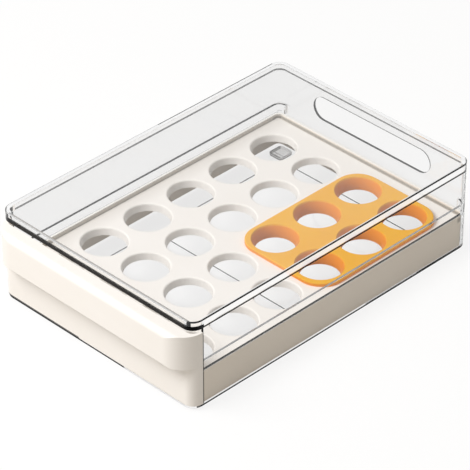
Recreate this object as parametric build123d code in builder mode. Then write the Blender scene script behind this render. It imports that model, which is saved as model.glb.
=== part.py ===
from build123d import *
from math import atan, degrees
import os

# Egg storage drawer: a clear case with a lid, and a drawer that slides out of its front.
# Millimetres, +Z up, +Y to the rear. The origin is on the ground, under the middle of
# the box that holds the case and the handle in front of it.

# Clear case
case_width = 217.0
case_depth = 315.0
case_height = 84.5        # ground to the top of the lid
case_corner = 10.0        # plan radius of the upright corners
case_wall = 2.4
wall_edge = 0.6           # rounding of the side walls' front ends
floor_thick = 2.0
floor_edge = 0.8          # rounding under the floor's rim
foot_height = 2.0         # how far the foot pads hold the floor off the ground

# Two stiffening panels pressed down into the floor
panel_width = 166.0
panel_length = 118.5
panel_spacing = 148.5     # between their centres
panel_corner = 4.0
panel_sink = 1.0
panel_rim = 1.0           # how much wider a panel is underneath

# Hand-hold through the rear wall
hold_length = 131.0
hold_height = 21.5
hold_top_gap = 7.05       # under the lid's seat
hold_edge = 0.8

# Guide rails inside the case, which keep the drawer from tipping
rail_thick = 2.0
rail_height = 8.3
rail_return = 9.1         # how far a rail runs on along the rear wall

# Lid
lid_height = 8.4          # of the rim band round it
lid_panel = 2.0
lid_skirt = 1.2
lid_beam = 3.0            # depth of the beam over the drawer front
lid_edge = 0.5
lid_gap = 0.1             # between the lid's skirt and the case's tongue
tongue_drop = 0.3         # from the lid's panel down to the tongue's top

# Foot pads
foot_width = 15.0
foot_length = 16.0
foot_corner = 3.5
foot_inset_x = 16.5       # from the case's side to a pad's centre
foot_inset_y = 14.5
foot_edge = 0.5
socket_depth = 0.6
socket_gap = 0.1

# Drawer frame, a ring of walls with a ledge inside and no floor
frame_height = 30.2
frame_wall = 2.2
frame_corner = 7.0
frame_edge = 0.4
side_gap = 0.4            # frame to case wall
rear_gap = 0.8
rail_gap = 1.0            # frame's top to the rails
ledge_width = 2.0
ledge_thick = 1.8

# Drawer front, a shell that closes the case and carries the handle
front_thick = 2.5
front_return = 10.9       # how far its sides reach back
front_corner = 9.0
front_lift = 0.3          # over the case's floor
front_top_gap = 4.1       # under the lid's beam
front_rear_gap = 0.3      # to the case's side walls
handle_reach = 11.0       # how far the handle stands out
handle_height = 31.0
handle_corner = 21.5
handle_wall = 2.5
handle_top_round = 5.0
handle_bottom_round = 1.5
pocket_corner = 8.0       # finger space behind the handle, open below

# Staked pegs that hold the drawer front on the frame
peg_radius = 1.8
peg_gap = 0.1
peg_head_radius = 3.0
peg_head_thick = 1.2
peg_head_taper = 30.0     # degrees, on the flattened head's side
peg_rise = 11.0           # over the frame's lower edge
peg_spacing = 55.0
peg_count = 4

# Egg plate, lifted out of the drawer for washing
plate_thick = 2.2
plate_drop = 3.7          # from the frame's top to the plate's top
plate_gap = 0.4
plate_edge = 0.5
egg_pitch = 48.65
egg_margin = 22.5         # least from a hole's centre to the plate's edge
egg_shift = -6.45         # the holes lie nearer to the front
hole_radius = 19.7
hole_edge = 1.5
collar_wall = 1.6
collar_depth = 6.6        # plate's top to the collar's lower rim
collar_narrowing = 1.2    # of the hole's radius down to that rim

# Small egg tray, which nests in the holes at the rear right
tray_columns = 2
tray_rows = 3
tray_height = 3.3         # plate's top to the tray's top
tray_thick = 1.6
tray_skirt = 1.6
tray_margin = 3.6         # from a cup's rim to the tray's edge
tray_corner = 20.5
tray_edge = 0.8
cup_gap = 0.5             # cup to the collar round it
cup_wall = 1.0
cup_flare = 1.8           # how much wider a cup's rim is than its bore at the plate
cup_depth = 11.0          # tray's top to the cup's lower rim

# Levels
floor_top = foot_height + floor_thick
lid_seat = case_height - lid_height
lid_under = case_height - lid_panel
frame_top = floor_top + frame_height
rail_bottom = frame_top + rail_gap
plate_top = frame_top - plate_drop
ledge_top = plate_top - plate_thick
collar_bottom = plate_top - collar_depth
tray_top = plate_top + tray_height
cup_bottom = tray_top - cup_depth
front_bottom = floor_top + front_lift
front_top = lid_seat - front_top_gap
handle_bottom = front_top - handle_height
hold_z = lid_seat - hold_top_gap - hold_height / 2

# Places front to rear, measured from the middle of the case
front_y = -case_depth / 2
frame_front = front_y + front_thick
frame_rear = case_depth / 2 - case_wall - rear_gap
frame_mid = (frame_front + frame_rear) / 2
handle_front = front_y - handle_reach
opening_depth = front_return + front_rear_gap

# Plan sizes that follow from the case
inner_width = case_width - 2 * case_wall
inner_depth = case_depth - 2 * case_wall
inner_corner = case_corner - case_wall
rail_rear_end = inner_width / 2 - rail_return
tongue_step = lid_skirt + lid_gap
frame_width = inner_width - 2 * side_gap
frame_length = frame_rear - frame_front
frame_inner_width = frame_width - 2 * frame_wall
frame_inner_length = frame_length - 2 * frame_wall
frame_inner_corner = frame_corner - frame_wall
plate_width = frame_inner_width - 2 * plate_gap
plate_length = frame_inner_length - 2 * plate_gap
plate_corner = frame_inner_corner - plate_gap
egg_columns = 1 + int((plate_width - 2 * egg_margin) / egg_pitch)
egg_rows = 1 + int((plate_length - 2 * egg_margin - 2 * abs(egg_shift)) / egg_pitch)
hole_mid = frame_mid + egg_shift
collar_taper = degrees(atan(collar_narrowing / collar_depth))
pocket_half = case_width / 2 - handle_corner + pocket_corner
pocket_depth = handle_reach - handle_wall
handle_depth = handle_reach + front_return
foot_span_x = case_width - 2 * foot_inset_x
foot_span_y = case_depth - 2 * foot_inset_y

# Tray and cup sizes that follow from the holes
tray_x = egg_pitch * (egg_columns - tray_columns) / 2
tray_y = hole_mid + egg_pitch * (egg_rows - tray_rows) / 2
cup_radius = hole_radius - cup_gap
cup_narrowing = collar_narrowing * (cup_depth - tray_height) / collar_depth
cup_bore = cup_radius - cup_wall
rim_radius = cup_bore + cup_flare
tray_width = (tray_columns - 1) * egg_pitch + 2 * (rim_radius + tray_margin)
tray_length = (tray_rows - 1) * egg_pitch + 2 * (rim_radius + tray_margin)

cut_past = 1.0            # how far a cut runs past the face that it opens


def level(z):
    """The horizontal plane at height z, with its origin in the middle of the case."""
    return Plane((0, handle_reach / 2, z))


def wall_plane(y, z, facing):
    """An upright plane across the case at y, facing to the front (-1) or the rear (1)."""
    return Plane((0, handle_reach / 2 + y, z), x_dir=(1, 0, 0), z_dir=(0, facing, 0))


def save(part, name):
    part.label = name
    export_step(part, f"parts/{name}.step")


os.makedirs("parts", exist_ok=True)

# Case body: floor, three walls, guide rails and the tongue that the lid fits over
with BuildPart() as case_body:
    with BuildSketch(level(foot_height)):
        RectangleRounded(case_width, case_depth, case_corner)
    extrude(amount=floor_thick)
    fillet(case_body.edges().group_by(Axis.Z)[0], radius=floor_edge)
    with BuildSketch(level(foot_height)):
        with GridLocations(0, panel_spacing, 1, 2):
            RectangleRounded(
                panel_width + 2 * panel_rim, panel_length + 2 * panel_rim, panel_corner + panel_rim
            )
    extrude(amount=-panel_sink)
    with BuildSketch(level(floor_top)):
        with GridLocations(0, panel_spacing, 1, 2):
            RectangleRounded(panel_width, panel_length, panel_corner)
    extrude(amount=-panel_sink, mode=Mode.SUBTRACT)
    with BuildSketch(level(floor_top)) as wall_plan:
        RectangleRounded(case_width, case_depth, case_corner)
        RectangleRounded(inner_width, inner_depth, inner_corner, mode=Mode.SUBTRACT)
        with Locations((0, front_y)):
            Rectangle(2 * case_width, 2 * opening_depth, mode=Mode.SUBTRACT)
        fillet(wall_plan.vertices().group_by(Axis.Y)[0], radius=wall_edge)
    extrude(amount=lid_seat - floor_top)
    with BuildSketch(level(lid_seat)):
        RectangleRounded(
            case_width - 2 * tongue_step, case_depth - 2 * tongue_step, case_corner - tongue_step
        )
        RectangleRounded(inner_width, inner_depth, inner_corner, mode=Mode.SUBTRACT)
    extrude(amount=lid_under - tongue_drop - lid_seat)
    with BuildSketch(level(rail_bottom)):
        RectangleRounded(inner_width, inner_depth, inner_corner)
        RectangleRounded(
            inner_width - 2 * rail_thick,
            inner_depth - 2 * rail_thick,
            inner_corner - rail_thick,
            mode=Mode.SUBTRACT,
        )
        Rectangle(2 * rail_rear_end, case_depth, mode=Mode.SUBTRACT)
    extrude(amount=rail_height)
    with BuildSketch(level(rail_bottom)):
        with Locations((0, front_y)):
            Rectangle(2 * case_width, 2 * opening_depth)
    extrude(amount=case_height, mode=Mode.SUBTRACT)
    with BuildSketch(wall_plane(case_depth / 2, hold_z, -1)):
        SlotOverall(hold_length, hold_height)
    extrude(amount=case_wall + cut_past, mode=Mode.SUBTRACT)
    fillet(case_body.edges(Select.LAST).filter_by(Axis.Y, reverse=True), radius=hold_edge)
    with BuildSketch(level(foot_height)):
        with GridLocations(foot_span_x, foot_span_y, 2, 2):
            RectangleRounded(
                foot_width + 2 * socket_gap, foot_length + 2 * socket_gap, foot_corner + socket_gap
            )
    extrude(amount=socket_depth, mode=Mode.SUBTRACT)
save(case_body.part, "case_body")

# Lid: a flat panel with a skirt that comes flush with the walls, and a beam at the front
with BuildPart() as case_lid:
    with BuildSketch(level(lid_seat)):
        RectangleRounded(case_width, case_depth, case_corner)
        RectangleRounded(
            case_width - 2 * lid_skirt,
            case_depth - 2 * lid_skirt,
            case_corner - lid_skirt,
            mode=Mode.SUBTRACT,
        )
    extrude(amount=lid_under - lid_seat)
    with BuildSketch(level(lid_seat)):
        RectangleRounded(case_width, case_depth, case_corner)
        with Locations((0, lid_beam)):
            Rectangle(2 * case_width, case_depth, mode=Mode.SUBTRACT)
    extrude(amount=lid_under - lid_seat)
    with BuildSketch(level(lid_under)):
        RectangleRounded(case_width, case_depth, case_corner)
    extrude(amount=lid_panel)
    fillet(case_lid.edges().group_by(Axis.Z)[-1], radius=lid_edge)
save(case_lid.part, "case_lid")

# Foot pads, pressed into sockets under the floor
for end, y_side in (("front", -1), ("rear", 1)):
    for side, x_side in (("left", -1), ("right", 1)):
        with BuildPart() as foot_pad:
            with BuildSketch(level(0)):
                with Locations((x_side * foot_span_x / 2, y_side * foot_span_y / 2)):
                    RectangleRounded(foot_width, foot_length, foot_corner)
            extrude(amount=foot_height + socket_depth)
            fillet(foot_pad.edges().group_by(Axis.Z)[0], radius=foot_edge)
        save(foot_pad.part, f"{end}_{side}_foot")

# Drawer frame, with the ledge for the egg plate and the holes for the front's pegs
with BuildPart() as drawer_frame:
    with BuildSketch(level(floor_top)):
        with Locations((0, frame_mid)):
            RectangleRounded(frame_width, frame_length, frame_corner)
            RectangleRounded(
                frame_inner_width, frame_inner_length, frame_inner_corner, mode=Mode.SUBTRACT
            )
    extrude(amount=frame_height)
    fillet(drawer_frame.edges().group_by(Axis.Z)[-1], radius=frame_edge)
    with BuildSketch(level(ledge_top)):
        with Locations((0, frame_mid)):
            RectangleRounded(frame_inner_width, frame_inner_length, frame_inner_corner)
            RectangleRounded(
                frame_inner_width - 2 * ledge_width,
                frame_inner_length - 2 * ledge_width,
                frame_inner_corner - ledge_width,
                mode=Mode.SUBTRACT,
            )
    extrude(amount=-ledge_thick)
    with BuildSketch(wall_plane(frame_front, floor_top + peg_rise, 1)):
        with GridLocations(peg_spacing, 0, peg_count, 1):
            Circle(peg_radius + peg_gap)
    extrude(amount=frame_wall + cut_past, mode=Mode.SUBTRACT)
save(drawer_frame.part, "drawer_frame")

# Handle, one moulding with the drawer front: its section runs straight across and its
# plan is rounded, so the rounding of the top edge fades out round the corners
with BuildPart() as handle:
    with BuildSketch(Plane.YZ) as handle_section:
        with Locations((handle_reach / 2 + handle_front, handle_bottom)):
            Rectangle(handle_depth, handle_height, align=(Align.MIN, Align.MIN))
        fillet(
            handle_section.vertices().group_by(Axis.X)[0].sort_by(Axis.Y)[-1],
            radius=handle_top_round,
        )
        fillet(
            handle_section.vertices().group_by(Axis.X)[0].sort_by(Axis.Y)[0],
            radius=handle_bottom_round,
        )
    extrude(amount=case_width / 2, both=True)
    with BuildSketch(level(handle_bottom)) as handle_plan:
        with Locations((0, handle_front)):
            Rectangle(case_width, handle_depth, align=(Align.CENTER, Align.MIN))
        fillet(handle_plan.vertices().group_by(Axis.Y)[0], radius=handle_corner)
    extrude(amount=handle_height, mode=Mode.INTERSECT)

# Drawer front: the panel with its side returns, the handle and the pegs
with BuildPart() as drawer_front:
    with BuildSketch(level(front_bottom)) as front_plan:
        with Locations((0, front_y)):
            Rectangle(case_width, front_return, align=(Align.CENTER, Align.MIN))
        fillet(front_plan.vertices().group_by(Axis.Y)[0], radius=front_corner)
    extrude(amount=handle_bottom - front_bottom)
    add(handle.part)
    with BuildSketch(level(front_bottom)) as inside_plan:
        with Locations((0, frame_front)):
            Rectangle(inner_width, front_return + cut_past, align=(Align.CENTER, Align.MIN))
        fillet(inside_plan.vertices().group_by(Axis.Y)[0], radius=front_corner - front_thick)
    extrude(amount=front_top - front_bottom, mode=Mode.SUBTRACT)
    with BuildSketch(level(handle_bottom)) as pocket_plan:
        with Locations((0, front_y)):
            Rectangle(2 * pocket_half, pocket_depth, align=(Align.CENTER, Align.MAX))
        fillet(pocket_plan.vertices().group_by(Axis.Y)[0], radius=pocket_corner)
    extrude(amount=handle_height - handle_wall, mode=Mode.SUBTRACT)
    with BuildSketch(wall_plane(frame_front, floor_top + peg_rise, 1)):
        with GridLocations(peg_spacing, 0, peg_count, 1):
            Circle(peg_radius)
    extrude(amount=frame_wall)
    with BuildSketch(wall_plane(frame_front + frame_wall, floor_top + peg_rise, 1)):
        with GridLocations(peg_spacing, 0, peg_count, 1):
            Circle(peg_head_radius)
    extrude(amount=peg_head_thick, taper=peg_head_taper)
save(drawer_front.part, "drawer_front")

# Egg plate: a flat sheet with a collar under each hole
with BuildPart() as egg_plate:
    with BuildSketch(level(ledge_top)):
        with Locations((0, frame_mid)):
            RectangleRounded(plate_width, plate_length, plate_corner)
    extrude(amount=plate_thick)
    fillet(egg_plate.edges().group_by(Axis.Z)[-1], radius=plate_edge)
    with BuildSketch(level(plate_top)):
        with Locations((0, hole_mid)):
            with GridLocations(egg_pitch, egg_pitch, egg_columns, egg_rows):
                Circle(hole_radius + collar_wall)
    extrude(amount=-collar_depth, taper=collar_taper)
    with BuildSketch(level(plate_top)):
        with Locations((0, hole_mid)):
            with GridLocations(egg_pitch, egg_pitch, egg_columns, egg_rows):
                Circle(hole_radius)
    extrude(amount=-collar_depth, taper=collar_taper, mode=Mode.SUBTRACT)
    plate_rims = egg_plate.edges().group_by(Axis.Z)[-1].filter_by(GeomType.CIRCLE)
    fillet(plate_rims.filter_by(lambda rim: rim.is_closed), radius=hole_edge)
save(egg_plate.part, "egg_plate")

# Outside of one cup of the small tray, then the space inside it
with BuildPart() as cup_outside:
    with BuildSketch(Plane.XZ):
        with BuildLine():
            Polyline(
                (0, tray_top),
                (rim_radius, tray_top),
                (rim_radius, tray_top - tray_thick),
                (cup_radius, plate_top),
                (cup_radius - cup_narrowing, cup_bottom),
                (0, cup_bottom),
                close=True,
            )
        make_face()
    revolve(axis=Axis.Z)

with BuildPart() as cup_inside:
    with BuildSketch(Plane.XZ):
        with BuildLine():
            flare = ThreePointArc(
                (rim_radius, tray_top),
                (cup_bore, plate_top),
                (cup_bore - cup_narrowing, cup_bottom),
            )
            Polyline(
                flare @ 1,
                (cup_bore - cup_narrowing, cup_bottom - cut_past),
                (0, cup_bottom - cut_past),
                (0, tray_top),
                flare @ 0,
            )
        make_face()
    revolve(axis=Axis.Z)

# Small egg tray: a shallow flange on a skirt, with the cups through it
with BuildPart() as small_egg_tray:
    with BuildSketch(level(plate_top)):
        with Locations((tray_x, tray_y)):
            RectangleRounded(tray_width, tray_length, tray_corner)
    extrude(amount=tray_height)
    fillet(small_egg_tray.edges().group_by(Axis.Z)[-1], radius=tray_edge)
    with BuildSketch(level(plate_top)):
        with Locations((tray_x, tray_y)):
            RectangleRounded(
                tray_width - 2 * tray_skirt, tray_length - 2 * tray_skirt, tray_corner - tray_skirt
            )
    extrude(amount=tray_height - tray_thick, mode=Mode.SUBTRACT)
    with Locations(level(0)):
        with Locations((tray_x, tray_y)):
            with GridLocations(egg_pitch, egg_pitch, tray_columns, tray_rows):
                add(cup_outside.part)
                add(cup_inside.part, mode=Mode.SUBTRACT)
save(small_egg_tray.part, "small_egg_tray")
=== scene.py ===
import math

import bpy
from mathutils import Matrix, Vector

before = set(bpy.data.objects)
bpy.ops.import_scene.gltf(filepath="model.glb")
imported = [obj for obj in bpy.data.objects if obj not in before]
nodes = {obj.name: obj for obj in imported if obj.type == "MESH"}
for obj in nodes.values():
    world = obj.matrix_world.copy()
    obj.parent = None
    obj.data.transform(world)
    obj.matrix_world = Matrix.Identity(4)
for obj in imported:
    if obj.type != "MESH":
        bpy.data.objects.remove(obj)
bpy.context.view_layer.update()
print("loaded", len(nodes), "pieces of the egg drawer")

# What the patterns need to know of the case, in millimetres
caseForm = {
    "middle": 5.5,    # along y, where the case's own middle lies
    "half": (108.5, 157.5),    # half its width and depth
    "corner": 10.0,    # radius of its upright corners
    "footSpan": 286.0,    # between the front and the rear pads' centres
}
perMetre = 1000.0
overAnyHeight = 1000.0    # taken off a height that is not to count
diagonal = 0.7071    # how far a step of 1 towards a corner goes along x and along y
edgeSoftness = 0.15    # of a zone's edge, where it names none of its own
mixFrom, mixTo, mixResult = 6, 7, 2    # where a Mix node keeps its two colours and its result


def hexColour(code):
    parts = [int(code[i:i + 2], 16) / 255 for i in (1, 3, 5)]
    return [p / 12.92 if p <= 0.04045 else ((p + 0.055) / 1.055) ** 2.4 for p in parts] + [1.0]


def addNode(tree, kind, settings=None):
    # a value goes to the input or the property of that name, and a socket is linked to the input
    node = tree.nodes.new(kind)
    for name, value in (settings or {}).items():
        if isinstance(value, bpy.types.NodeSocket):
            tree.links.new(value, node.inputs[name])
        elif isinstance(name, int) or name in node.inputs:
            node.inputs[name].default_value = value
        else:
            setattr(node, name, value)
    return node


def newMaterial(name):
    material = bpy.data.materials.new(name)
    material.use_nodes = True
    material.node_tree.nodes.clear()
    return material, material.node_tree


def millimetres(tree):
    # a point's place in millimetres, and the axes that the zones are given along
    place = addNode(tree, "ShaderNodeTexCoord").outputs["Object"]
    scaled = addNode(tree, "ShaderNodeVectorMath", {
        "operation": "SCALE", 0: place, "Scale": perMetre}).outputs[0]
    split = addNode(tree, "ShaderNodeSeparateXYZ", {0: scaled}).outputs

    # side: out from the middle, to the left or the right
    side = addNode(tree, "ShaderNodeMath", {"operation": "ABSOLUTE", 0: split["X"]})

    # corner: out from the middle, towards the rear right or the front left corner
    across = addNode(tree, "ShaderNodeVectorMath", {
        "operation": "DOT_PRODUCT", 0: scaled, 1: (diagonal, diagonal, 0.0)})
    fromMiddle = addNode(tree, "ShaderNodeMath", {
        "operation": "SUBTRACT", 0: across.outputs["Value"], 1: caseForm["middle"] * diagonal})
    corner = addNode(tree, "ShaderNodeMath", {"operation": "ABSOLUTE", 0: fromMiddle.outputs[0]})

    # along: to the rear from the centre of the nearer pads
    centred = addNode(tree, "ShaderNodeMath", {
        "operation": "SUBTRACT", 0: split["Y"], 1: caseForm["middle"]})
    fold = addNode(tree, "ShaderNodeMath", {
        "operation": "WRAP", 0: centred.outputs[0], 1: caseForm["footSpan"], 2: 0.0})
    along = addNode(tree, "ShaderNodeMath", {
        "operation": "SUBTRACT", 0: fold.outputs[0], 1: caseForm["footSpan"] / 2})

    # depth: in from the case's outer walls, measured round its corners too
    middle = addNode(tree, "ShaderNodeVectorMath", {
        "operation": "SUBTRACT", 0: scaled, 1: (0.0, caseForm["middle"], 0.0)})
    quarter = addNode(tree, "ShaderNodeVectorMath", {
        "operation": "ABSOLUTE", 0: middle.outputs[0]})
    straight = [half - caseForm["corner"] for half in caseForm["half"]]
    bend = addNode(tree, "ShaderNodeVectorMath", {
        "operation": "SUBTRACT", 0: quarter.outputs[0], 1: (*straight, overAnyHeight)})
    outward = addNode(tree, "ShaderNodeVectorMath", {
        "operation": "MAXIMUM", 0: bend.outputs[0], 1: (0.0, 0.0, 0.0)})
    reach = addNode(tree, "ShaderNodeVectorMath", {"operation": "LENGTH", 0: outward.outputs[0]})
    depth = addNode(tree, "ShaderNodeMath", {
        "operation": "SUBTRACT", 0: caseForm["corner"], 1: reach.outputs["Value"]})

    axes = {"x": split["X"], "y": split["Y"], "z": split["Z"], "side": side.outputs[0],
            "corner": corner.outputs[0], "along": along.outputs[0], "depth": depth.outputs[0]}
    return axes, scaled


def slab(tree, value, low, high, soft):
    # 1 between low and high, with a soft edge
    offset = addNode(tree, "ShaderNodeMath", {
        "operation": "SUBTRACT", 0: value, 1: (low + high) / 2})
    away = addNode(tree, "ShaderNodeMath", {"operation": "ABSOLUTE", 0: offset.outputs[0]})
    half = (high - low) / 2
    inside = addNode(tree, "ShaderNodeMapRange", {
        "Value": away.outputs[0], "From Min": half - soft, "From Max": half + soft,
        "To Min": 1.0, "To Max": 0.0})
    return inside.outputs[0]


def zones(tree, axes, named):
    # how strongly any of the named zones covers a point
    total = 0.0
    for zone in named.values():
        cover = zone["strength"]
        for axis, (low, high) in zone["where"].items():
            inside = slab(tree, axes[axis], low, high, zone.get("soft", edgeSoftness))
            cover = addNode(tree, "ShaderNodeMath", {
                "operation": "MULTIPLY", 0: cover, 1: inside}).outputs[0]
        total = addNode(tree, "ShaderNodeMath", {
            "operation": "MAXIMUM", 0: total, 1: cover}).outputs[0]
    return total


# Clear polystyrene, moulded in polished steel: glassy faces with a faint grey in the walls, and
# edges that trap the light, drawn as painted shade: fine near-black lines beside bright ones. The
# dark zones are these painted lines, at edges and at shaded gaps; bright ones mirror the white
# round them, and seated ones are faces so tight together that they can't be told apart. Zones are
# in millimetres.
clearSurface = {
    "smokeAbove": (4.2, 5.2),    # the floor stays clear, and the grey starts over it
    # painted shade: the grey is strongest on the left wall and fades towards the right one
    "smokeAcross": (-108.0, 108.0),    # from the left wall to the right one
    "smokeRight": 0.25,    # what is left of the grey at the right wall
    "rippleLength": 30.0,    # from crest to crest, left by the mould's filling
    "rippleDepth": 0.001,    # in metres
    "rippleStrength": 0.012,
    "polishLength": 18.0,    # patches of a little less polish, as on a handled box
    "polishRange": (0.4, 0.75),
    "roughness": (0.0, 0.02),
}
clearLid = {
    "tint": "#fdfdfd",
    "smoke": "#fdfdfd",
    "paintedShading": "#010101",
    "mirror": "#f4f4f4",
    "ior": 1.57,
    "dark": {
        # painted shade: near-black lines along the skirt's foot, the beam's foot, the top edges
        # and the corners
        "skirtFootRight": {"where": {"z": (76.0, 77.7), "x": (100.0, 110.0)}, "strength": 1.0},
        "skirtFootLeft": {"where": {"z": (76.2, 77.3), "x": (-110.0, -100.0)}, "strength": 1.0},
        "skirtFootRear": {"where": {"z": (76.2, 77.1), "y": (154.0, 164.0)}, "strength": 1.0},
        "beamFoot": {"where": {"z": (76.0, 79.6), "y": (-160.0, -140.0)}, "strength": 1.0},
        "topEdgeRight": {"where": {"z": (83.1, 84.25), "x": (107.9, 110.0)}, "strength": 1.0},
        "topEdgeLeftRear": {"where": {"z": (83.7, 84.2), "x": (-110.0, -108.0),
                                      "y": (20.0, 170.0)}, "strength": 0.5},
        "corners": {"where": {"corner": (182.8, 190.0)}, "soft": 0.4, "strength": 0.7},
    },
    "bright": {
        "skirtBand": {"where": {"z": (78.1, 82.8), "x": (108.2, 110.0), "y": (-142.0, 170.0)},
                      "strength": 0.8},
        "frontRim": {"where": {"z": (83.7, 85.0), "y": (-153.0, -151.3)}, "strength": 0.6},
        "leftRim": {"where": {"z": (83.7, 85.0), "x": (-110.0, -99.0), "depth": (0.55, 3.7),
                              "y": (-152.0, 20.0)}, "strength": 0.9},
        "leftRimRear": {"where": {"z": (83.7, 85.0), "x": (-110.0, -99.0), "depth": (1.1, 3.7),
                                  "y": (20.0, 153.0)}, "strength": 0.9},
        "rearRim": {"where": {"z": (83.7, 85.0), "y": (153.0, 164.0), "depth": (0.4, 3.7)},
                    "strength": 0.9},
    },
    "seated": {
        "skirt": {"where": {"depth": (1.05, 1.45), "z": (76.3, 82.4), "y": (-139.0, 170.0)},
                  "soft": 0.05, "strength": 1.0},
    },
}
clearCase = {
    "tint": "#ffffff",
    "smoke": "#f3f3f3",
    "paintedShading": "#020202",
    "mirror": "#000000",
    "ior": 1.49,
    "dark": {
        # painted shade: near-black lines at the walls' front ends, round the hand hold, along the
        # rails, the floor's edges and the corners
        "frontEndRight": {"where": {"x": (100.0, 110.0), "y": (-145.0, -140.25),
                                    "z": (4.4, 69.0)}, "strength": 0.97},
        "frontEndLeft": {"where": {"x": (-110.0, -100.0), "y": (-145.0, -140.25),
                                   "z": (4.4, 64.0)}, "strength": 0.97},
        "handHold": {"where": {"y": (160.75, 162.85), "side": (-1.0, 66.5), "z": (46.0, 70.5)},
                     "strength": 0.9},
        "railFootRight": {"where": {"z": (34.8, 36.2), "x": (103.0, 107.0)}, "strength": 1.0},
        "railFootLeft": {"where": {"z": (35.0, 36.0), "x": (-107.0, -103.0)}, "strength": 0.5},
        "railTopLeft": {"where": {"z": (43.1, 43.6), "x": (-107.0, -94.0)}, "strength": 0.4},
        "floorRim": {"where": {"z": (1.9, 3.95), "side": (107.2, 109.0), "y": (-144.0, 170.0)},
                     "strength": 1.0},
        "floorFront": {"where": {"x": (-110.0, 30.0), "y": (-153.0, -151.0), "z": (1.9, 3.0)},
                       "strength": 0.95},
        "floorFrontLeft": {"where": {"x": (-110.0, -20.0), "y": (-153.0, -149.0),
                                     "z": (1.9, 4.1)}, "strength": 1.0},
        "corners": {"where": {"corner": (183.3, 190.0), "z": (4.0, 75.9)}, "soft": 0.4,
                    "strength": 0.45},
    },
    "bright": {
        "floorFrontRight": {"where": {"x": (32.0, 107.2), "y": (-153.0, -141.0),
                                      "z": (1.9, 4.3), "depth": (-0.5, 0.9)}, "strength": 0.9},
        "floorBand": {"where": {"z": (4.1, 5.3), "side": (107.0, 109.0), "y": (-150.0, 40.0)},
                      "strength": 1.0},
        "floorBandRear": {"where": {"z": (4.3, 5.1), "side": (107.0, 109.0),
                                    "y": (40.0, 100.0)}, "strength": 0.5},
        "railTopRight": {"where": {"z": (42.9, 43.7), "x": (103.0, 107.0)}, "strength": 0.35},
        "railEnds": {"where": {"side": (96.0, 98.3), "y": (157.0, 161.0), "z": (35.0, 43.8)},
                     "strength": 0.8},
        "tongueEnds": {"where": {"y": (-145.0, -138.5), "z": (76.0, 83.0)}, "strength": 1.0},
        "tongueTop": {"where": {"z": (81.8, 82.4)}, "strength": 1.0},
        "corners": {"where": {"corner": (181.2, 183.0), "z": (4.0, 75.9)}, "soft": 0.6,
                    "strength": 0.45},
    },
    "seated": {
        "tongue": {"where": {"depth": (1.05, 1.45), "z": (76.3, 82.1), "y": (-139.0, 170.0)},
                   "soft": 0.05, "strength": 1.0},
    },
}


def makeClear(name, plastic):
    material, tree = newMaterial(name)
    axes, place = millimetres(tree)
    surface = clearSurface

    # the faint grey of the walls, and over it the painted near-black lines: painted shade at
    # edges and gaps
    above = addNode(tree, "ShaderNodeMapRange", {
        "Value": axes["z"], "From Min": surface["smokeAbove"][0],
        "From Max": surface["smokeAbove"][1]})
    across = addNode(tree, "ShaderNodeMapRange", {
        "Value": axes["x"], "From Min": surface["smokeAcross"][0],
        "From Max": surface["smokeAcross"][1], "To Min": 1.0, "To Max": surface["smokeRight"]})
    smoky = addNode(tree, "ShaderNodeMath", {
        "operation": "MULTIPLY", 0: above.outputs[0], 1: across.outputs[0]})
    tinted = addNode(tree, "ShaderNodeMix", {
        "data_type": "RGBA", 0: smoky.outputs[0],
        mixFrom: hexColour(plastic["tint"]), mixTo: hexColour(plastic["smoke"])})
    paintedLineCover = zones(tree, axes, plastic["dark"])
    colour = addNode(tree, "ShaderNodeMix", {
        "data_type": "RGBA", 0: paintedLineCover,
        mixFrom: tinted.outputs[mixResult], mixTo: hexColour(plastic["paintedShading"])})
    # the painted lines also take the reflection's tint down to their own near-black
    sheen = addNode(tree, "ShaderNodeMix", {
        "data_type": "RGBA", 0: paintedLineCover,
        mixFrom: hexColour(plastic["mirror"]), mixTo: hexColour(plastic["paintedShading"])})

    ripple = addNode(tree, "ShaderNodeTexNoise", {
        "Vector": place, "Scale": 1 / surface["rippleLength"], "Detail": 1.0})
    bump = addNode(tree, "ShaderNodeBump", {
        "Height": ripple.outputs[0], "Strength": surface["rippleStrength"],
        "Distance": surface["rippleDepth"]})
    polish = addNode(tree, "ShaderNodeTexNoise", {
        "Vector": place, "Scale": 1 / surface["polishLength"], "Detail": 3.0})
    rough = addNode(tree, "ShaderNodeMapRange", {
        "Value": polish.outputs[0],
        "From Min": surface["polishRange"][0], "From Max": surface["polishRange"][1],
        "To Min": surface["roughness"][0], "To Max": surface["roughness"][1]})

    # two faces that sit tight against each other bend no light between them
    apart = addNode(tree, "ShaderNodeMath", {
        "operation": "SUBTRACT", 0: 1.0, 1: zones(tree, axes, plastic["seated"])})
    body = addNode(tree, "ShaderNodeBsdfPrincipled", {
        "Base Color": colour.outputs[mixResult], "Specular Tint": sheen.outputs[mixResult],
        "Transmission Weight": 1.0, "IOR": plastic["ior"], "Roughness": rough.outputs[0],
        "Normal": bump.outputs[0], "Metallic": zones(tree, axes, plastic["bright"]),
        "Alpha": apart.outputs[0]})

    # lamp light and bounced light go straight through
    path = addNode(tree, "ShaderNodeLightPath").outputs
    passing = addNode(tree, "ShaderNodeBsdfTransparent", {"Color": hexColour(plastic["tint"])})
    forLamps = addNode(tree, "ShaderNodeMixShader", {
        0: path["Is Shadow Ray"], 1: body.outputs[0], 2: passing.outputs[0]})
    forBounces = addNode(tree, "ShaderNodeMixShader", {
        0: path["Is Diffuse Ray"], 1: forLamps.outputs[0], 2: passing.outputs[0]})
    addNode(tree, "ShaderNodeOutputMaterial", {"Surface": forBounces.outputs[0]})
    return material


finishes = {
    "clearLid": makeClear("clearPolystyreneLid", clearLid),
    "clearCase": makeClear("clearPolystyreneCase", clearCase),
}
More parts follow.
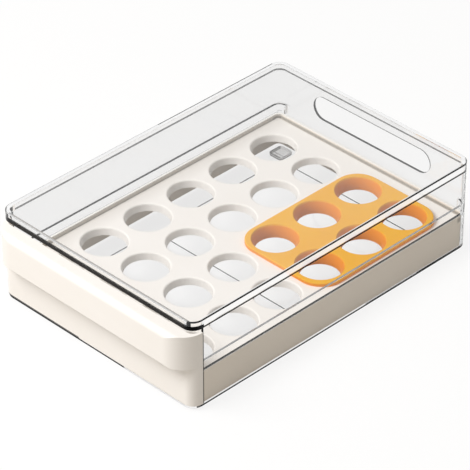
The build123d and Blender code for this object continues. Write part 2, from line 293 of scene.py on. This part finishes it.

# Polypropylene, moulded in spark-eroded steel: opaque and satin, with a colour that drifts by a
# shade over some centimetres of flow. The steel's grain, about 0.2 mm on the real thing, is drawn
# about 1 mm wide so that it can show at all. The lines are painted light and shade: painted shade
# where edges and inner faces lie in shade, and a few tones painted lighter or deeper where light
# falls or bounces.
mouldedSurface = {
    "wearLength": 12.0,    # patches that handling has polished, in millimetres
    "wearRange": (0.3, 0.7),
    "reliefDepth": 0.0003,    # in metres
}
cream = {
    "light": "#faf8f6", "deep": "#f6f3ef", "flow": 45.0, "specular": 0.35,
    "roughness": (0.36, 0.48), "grain": 1.0, "relief": 0.05, "ior": 1.49,
}
creamFront = {
    **cream, "paintedShading": "#2c2a26",
    "lines": {
        # painted shade: a dark line along the front's lower edge, on its left part
        "lowerEdgeShade": {"where": {"x": (-110.0, -20.0), "y": (-160.0, -147.0), "z": (4.0, 5.2)},
                      "strength": 0.9},
    },
}
creamPlate = {
    **cream, "paintedShading": "#a69d90",
    "lines": {
        # painted shadow: a soft shade spreading in from the left wall, and a shaded seam along
        # the rear edge
        "leftEdgeShadow": {"where": {"x": (-120.0, -94.0)}, "soft": 8.0, "strength": 0.3},
        "rearEdgeShade": {"where": {"y": (155.6, 160.0)}, "soft": 0.6, "strength": 0.7},
    },
}
# the frame is the same cream painted warmer and darker, a shaded copy of it, and duller
shadedCreamFrame = {
    "light": "#f3ece1", "deep": "#eee6da", "flow": 45.0, "specular": 0.2,
    "roughness": (0.4, 0.52), "grain": 1.0, "relief": 0.05, "ior": 1.49, "paintedShading": "#3a352e",
    "lines": {
        # painted shade at the corners, the top edge, the left inside wall and the rear seat;
        # painted light on the rim
        "corner": {"where": {"corner": (179.8, 190.0)}, "strength": 0.75},
        "topEdgeShade": {"where": {"side": (105.2, 106.0), "z": (33.7, 34.4)}, "strength": 0.5},
        "litRim": {"where": {"z": (33.7, 35.0)}, "strength": 0.9, "paintedShading": "#f2f2f0"},
        "leftInsideShade": {"where": {"x": (-104.5, -100.0), "z": (28.0, 33.9)}, "strength": 0.35},
        "seatShade": {"where": {"z": (28.0, 32.3), "y": (150.0, 158.2)}, "soft": 0.6,
                 "strength": 0.5},
    },
}
# the tray's cup walls are painted a deeper orange than its top: painted shade and bounced light
# inside the cups
yolkTray = {
    "light": "#f6bb20", "deep": "#f1ac14", "flow": 38.0, "specular": 0.05,
    "roughness": (0.34, 0.46), "grain": 1.0, "relief": 0.05, "ior": 1.49, "paintedShading": "#ea8a08",
    "lines": {
        "cupWallShade": {"where": {"z": (10.0, 32.9)}, "soft": 0.6, "strength": 0.9},
    },
}
# Silicone, moulded clear: soft and a little cloudy, see-through in the middle, with painted shade
# dark round its outline
clearPads = {
    "light": "#dcdce0", "deep": "#ccccd0", "flow": 6.0, "specular": 0.5,
    "roughness": (0.3, 0.42), "grain": 0.5, "relief": 0.05, "ior": 1.41, "paintedShading": "#141416",
    "body": (0.25, 0.9),    # how solid it looks in the middle, and at its outline
    "lines": {
        # painted shade round the pad's outline
        "innerSides": {"where": {"side": (84.0, 85.4)}, "strength": 0.8},
        "outerSides": {"where": {"side": (98.6, 100.0)}, "strength": 0.8},
        "frontEnds": {"where": {"along": (-10.0, -6.2)}, "strength": 0.8},
        "step": {"where": {"along": (-3.9, -3.1)}, "strength": 0.7},
    },
}


def makeMoulded(name, plastic):
    material, tree = newMaterial(name)
    axes, place = millimetres(tree)
    surface = mouldedSurface
    flow = addNode(tree, "ShaderNodeTexNoise", {
        "Vector": place, "Scale": 1 / plastic["flow"], "Detail": 2.0, "Distortion": 0.6})
    colour = addNode(tree, "ShaderNodeMix", {
        "data_type": "RGBA", 0: flow.outputs[0],
        mixFrom: hexColour(plastic["deep"]), mixTo: hexColour(plastic["light"])})
    # the painted light and shade lines, laid one over another
    for zone, line in plastic["lines"].items():
        colour = addNode(tree, "ShaderNodeMix", {
            "data_type": "RGBA", 0: zones(tree, axes, {zone: line}),
            mixFrom: colour.outputs[mixResult],
            mixTo: hexColour(line.get("paintedShading", plastic["paintedShading"]))})

    wear = addNode(tree, "ShaderNodeTexNoise", {
        "Vector": place, "Scale": 1 / surface["wearLength"], "Detail": 3.0})
    rough = addNode(tree, "ShaderNodeMapRange", {
        "Value": wear.outputs[0],
        "From Min": surface["wearRange"][0], "From Max": surface["wearRange"][1],
        "To Min": plastic["roughness"][0], "To Max": plastic["roughness"][1]})
    grain = addNode(tree, "ShaderNodeTexNoise", {
        "Vector": place, "Scale": 1 / plastic["grain"], "Detail": 1.0})
    bump = addNode(tree, "ShaderNodeBump", {
        "Height": grain.outputs[0], "Strength": plastic["relief"],
        "Distance": surface["reliefDepth"]})
    body = addNode(tree, "ShaderNodeBsdfPrincipled", {
        "Base Color": colour.outputs[mixResult], "IOR": plastic["ior"],
        "Specular IOR Level": plastic["specular"], "Roughness": rough.outputs[0],
        "Normal": bump.outputs[0]})
    if "body" in plastic:
        filled = addNode(tree, "ShaderNodeMapRange", {
            "Value": zones(tree, axes, plastic["lines"]),
            "To Min": plastic["body"][0], "To Max": plastic["body"][1]})
        tree.links.new(filled.outputs[0], body.inputs["Alpha"])
    addNode(tree, "ShaderNodeOutputMaterial", {"Surface": body.outputs[0]})
    return material


finishes["creamFront"] = makeMoulded("creamPolypropylene", creamFront)
finishes["creamPlate"] = makeMoulded("creamPolypropylenePlate", creamPlate)
# the frame wears the shaded copy of the cream
finishes["shadedCreamFrame"] = makeMoulded("shadedCreamPolypropyleneFrame", shadedCreamFrame)
finishes["yolkTray"] = makeMoulded("yolkPolypropylene", yolkTray)
finishes["clearPads"] = makeMoulded("clearSilicone", clearPads)

wearing = {
    "case_body": "clearCase",
    "case_lid": "clearLid",
    "front_left_foot": "clearPads",
    "front_right_foot": "clearPads",
    "rear_left_foot": "clearPads",
    "rear_right_foot": "clearPads",
    "drawer_frame": "shadedCreamFrame",
    "drawer_front": "creamFront",
    "egg_plate": "creamPlate",
    "small_egg_tray": "yolkTray",
}
for node, finish in wearing.items():
    mesh = nodes[node].data
    mesh.materials.clear()
    mesh.materials.append(finishes[finish])
print("finished", len(wearing), "pieces in", len(finishes), "materials")

# A plain pale floor that keeps the drawer's shadow, and a plain white backdrop. Each has a look
# for the rays that show it, and a softer one that lights the drawer.
paleFloor = {
    "size": 6.0,    # in metres
    "shown": "#ffffff",
    "shownGlow": 0.84,
    "shownDiffuse": "#6e6e6e",    # the part of its look that the shadow falls on
    "lit": "#c5bfb6",
}
backdrop = {
    "shown": "#ffffff",
    "shownStrength": 1.0,
    "lit": "#fffaf3",
    "litStrength": 0.46,
}
lostInPlastic = 0.055    # of the background's strength, seen through clear plastic


def showsBackground(tree):
    # 1 for the rays that see the background: straight, mirrored or through clear plastic
    path = addNode(tree, "ShaderNodeLightPath").outputs
    straight = addNode(tree, "ShaderNodeMath", {
        "operation": "MAXIMUM", 0: path["Is Camera Ray"], 1: path["Is Glossy Ray"]})
    return addNode(tree, "ShaderNodeMath", {
        "operation": "MAXIMUM", 0: straight.outputs[0],
        1: path["Is Transmission Ray"]}).outputs[0]


def shownStrength(tree, strength):
    # a shade less through clear plastic, which takes some of the light out of the background
    path = addNode(tree, "ShaderNodeLightPath").outputs
    lost = addNode(tree, "ShaderNodeMath", {
        "operation": "MULTIPLY", 0: path["Is Transmission Ray"], 1: lostInPlastic})
    return addNode(tree, "ShaderNodeMath", {
        "operation": "SUBTRACT", 0: strength, 1: lost.outputs[0]}).outputs[0]


def makeFloor():
    material, tree = newMaterial("paleFloor")
    lit = addNode(tree, "ShaderNodeBsdfDiffuse", {"Color": hexColour(paleFloor["lit"])})
    seen = addNode(tree, "ShaderNodeBsdfDiffuse", {"Color": hexColour(paleFloor["shownDiffuse"])})
    glow = addNode(tree, "ShaderNodeEmission", {
        "Color": hexColour(paleFloor["shown"]),
        "Strength": shownStrength(tree, paleFloor["shownGlow"])})
    both = addNode(tree, "ShaderNodeAddShader", {0: seen.outputs[0], 1: glow.outputs[0]})
    mix = addNode(tree, "ShaderNodeMixShader", {
        0: showsBackground(tree), 1: lit.outputs[0], 2: both.outputs[0]})
    addNode(tree, "ShaderNodeOutputMaterial", {"Surface": mix.outputs[0]})
    mesh = bpy.data.meshes.new("floor")
    half = paleFloor["size"] / 2
    corners = [(-half, -half, 0), (half, -half, 0), (half, half, 0), (-half, half, 0)]
    mesh.from_pydata(corners, [], [(0, 1, 2, 3)])
    mesh.materials.append(material)
    floor = bpy.data.objects.new("floor", mesh)
    bpy.context.scene.collection.objects.link(floor)


def makeBackdrop():
    world = bpy.data.worlds.new("studio")
    bpy.context.scene.world = world
    world.use_nodes = True
    tree = world.node_tree
    tree.nodes.clear()
    lit = addNode(tree, "ShaderNodeBackground", {
        "Color": hexColour(backdrop["lit"]), "Strength": backdrop["litStrength"]})
    seen = addNode(tree, "ShaderNodeBackground", {
        "Color": hexColour(backdrop["shown"]),
        "Strength": shownStrength(tree, backdrop["shownStrength"])})
    mix = addNode(tree, "ShaderNodeMixShader", {
        0: showsBackground(tree), 1: lit.outputs[0], 2: seen.outputs[0]})
    addNode(tree, "ShaderNodeOutputWorld", {"Surface": mix.outputs[0]})


makeFloor()
makeBackdrop()

# One big soft box at the front left, high up; the right side stays in its own shade
softBox = {
    "at": (-0.61, -1.21, 1.55),
    "size": 1.1,
    "watts": 35.0,
    "colour": "#fffdfb",
}


def makeSoftBox():
    light = bpy.data.lights.new("key", "AREA")
    light.shape = "SQUARE"
    light.size = softBox["size"]
    light.energy = softBox["watts"]
    light.color = hexColour(softBox["colour"])[:3]
    lamp = bpy.data.objects.new("key", light)
    lamp.location = softBox["at"]
    lamp.rotation_euler = (-Vector(softBox["at"])).to_track_quat("-Z", "Y").to_euler()
    bpy.context.scene.collection.objects.link(lamp)
    lamp.visible_camera = False
    lamp.visible_glossy = False
    lamp.visible_transmission = False


makeSoftBox()

# The photograph's own viewing angle, from far off
camera = {
    "azimuth": 45.05,
    "elevation": 35.12,
    "distance": 2.577,
    "target": (-0.0351, 0.0364, 0.002),
    "lens": 239.6,
    "sensor": 36.0,
    "clip": (0.05, 20.0),
}


def makeCamera():
    data = bpy.data.cameras.new("camera")
    data.lens = camera["lens"]
    data.sensor_width = camera["sensor"]
    data.clip_start, data.clip_end = camera["clip"]
    eye = bpy.data.objects.new("camera", data)
    a, e = math.radians(camera["azimuth"]), math.radians(camera["elevation"])
    back = Vector((math.sin(a) * math.cos(e), -math.cos(a) * math.cos(e), math.sin(e)))
    eye.location = Vector(camera["target"]) + back * camera["distance"]
    eye.rotation_euler = back.to_track_quat("Z", "Y").to_euler()
    bpy.context.scene.collection.objects.link(eye)
    bpy.context.scene.camera = eye


makeCamera()
bpy.context.scene.view_settings.view_transform = "Standard"
print("set the stage")
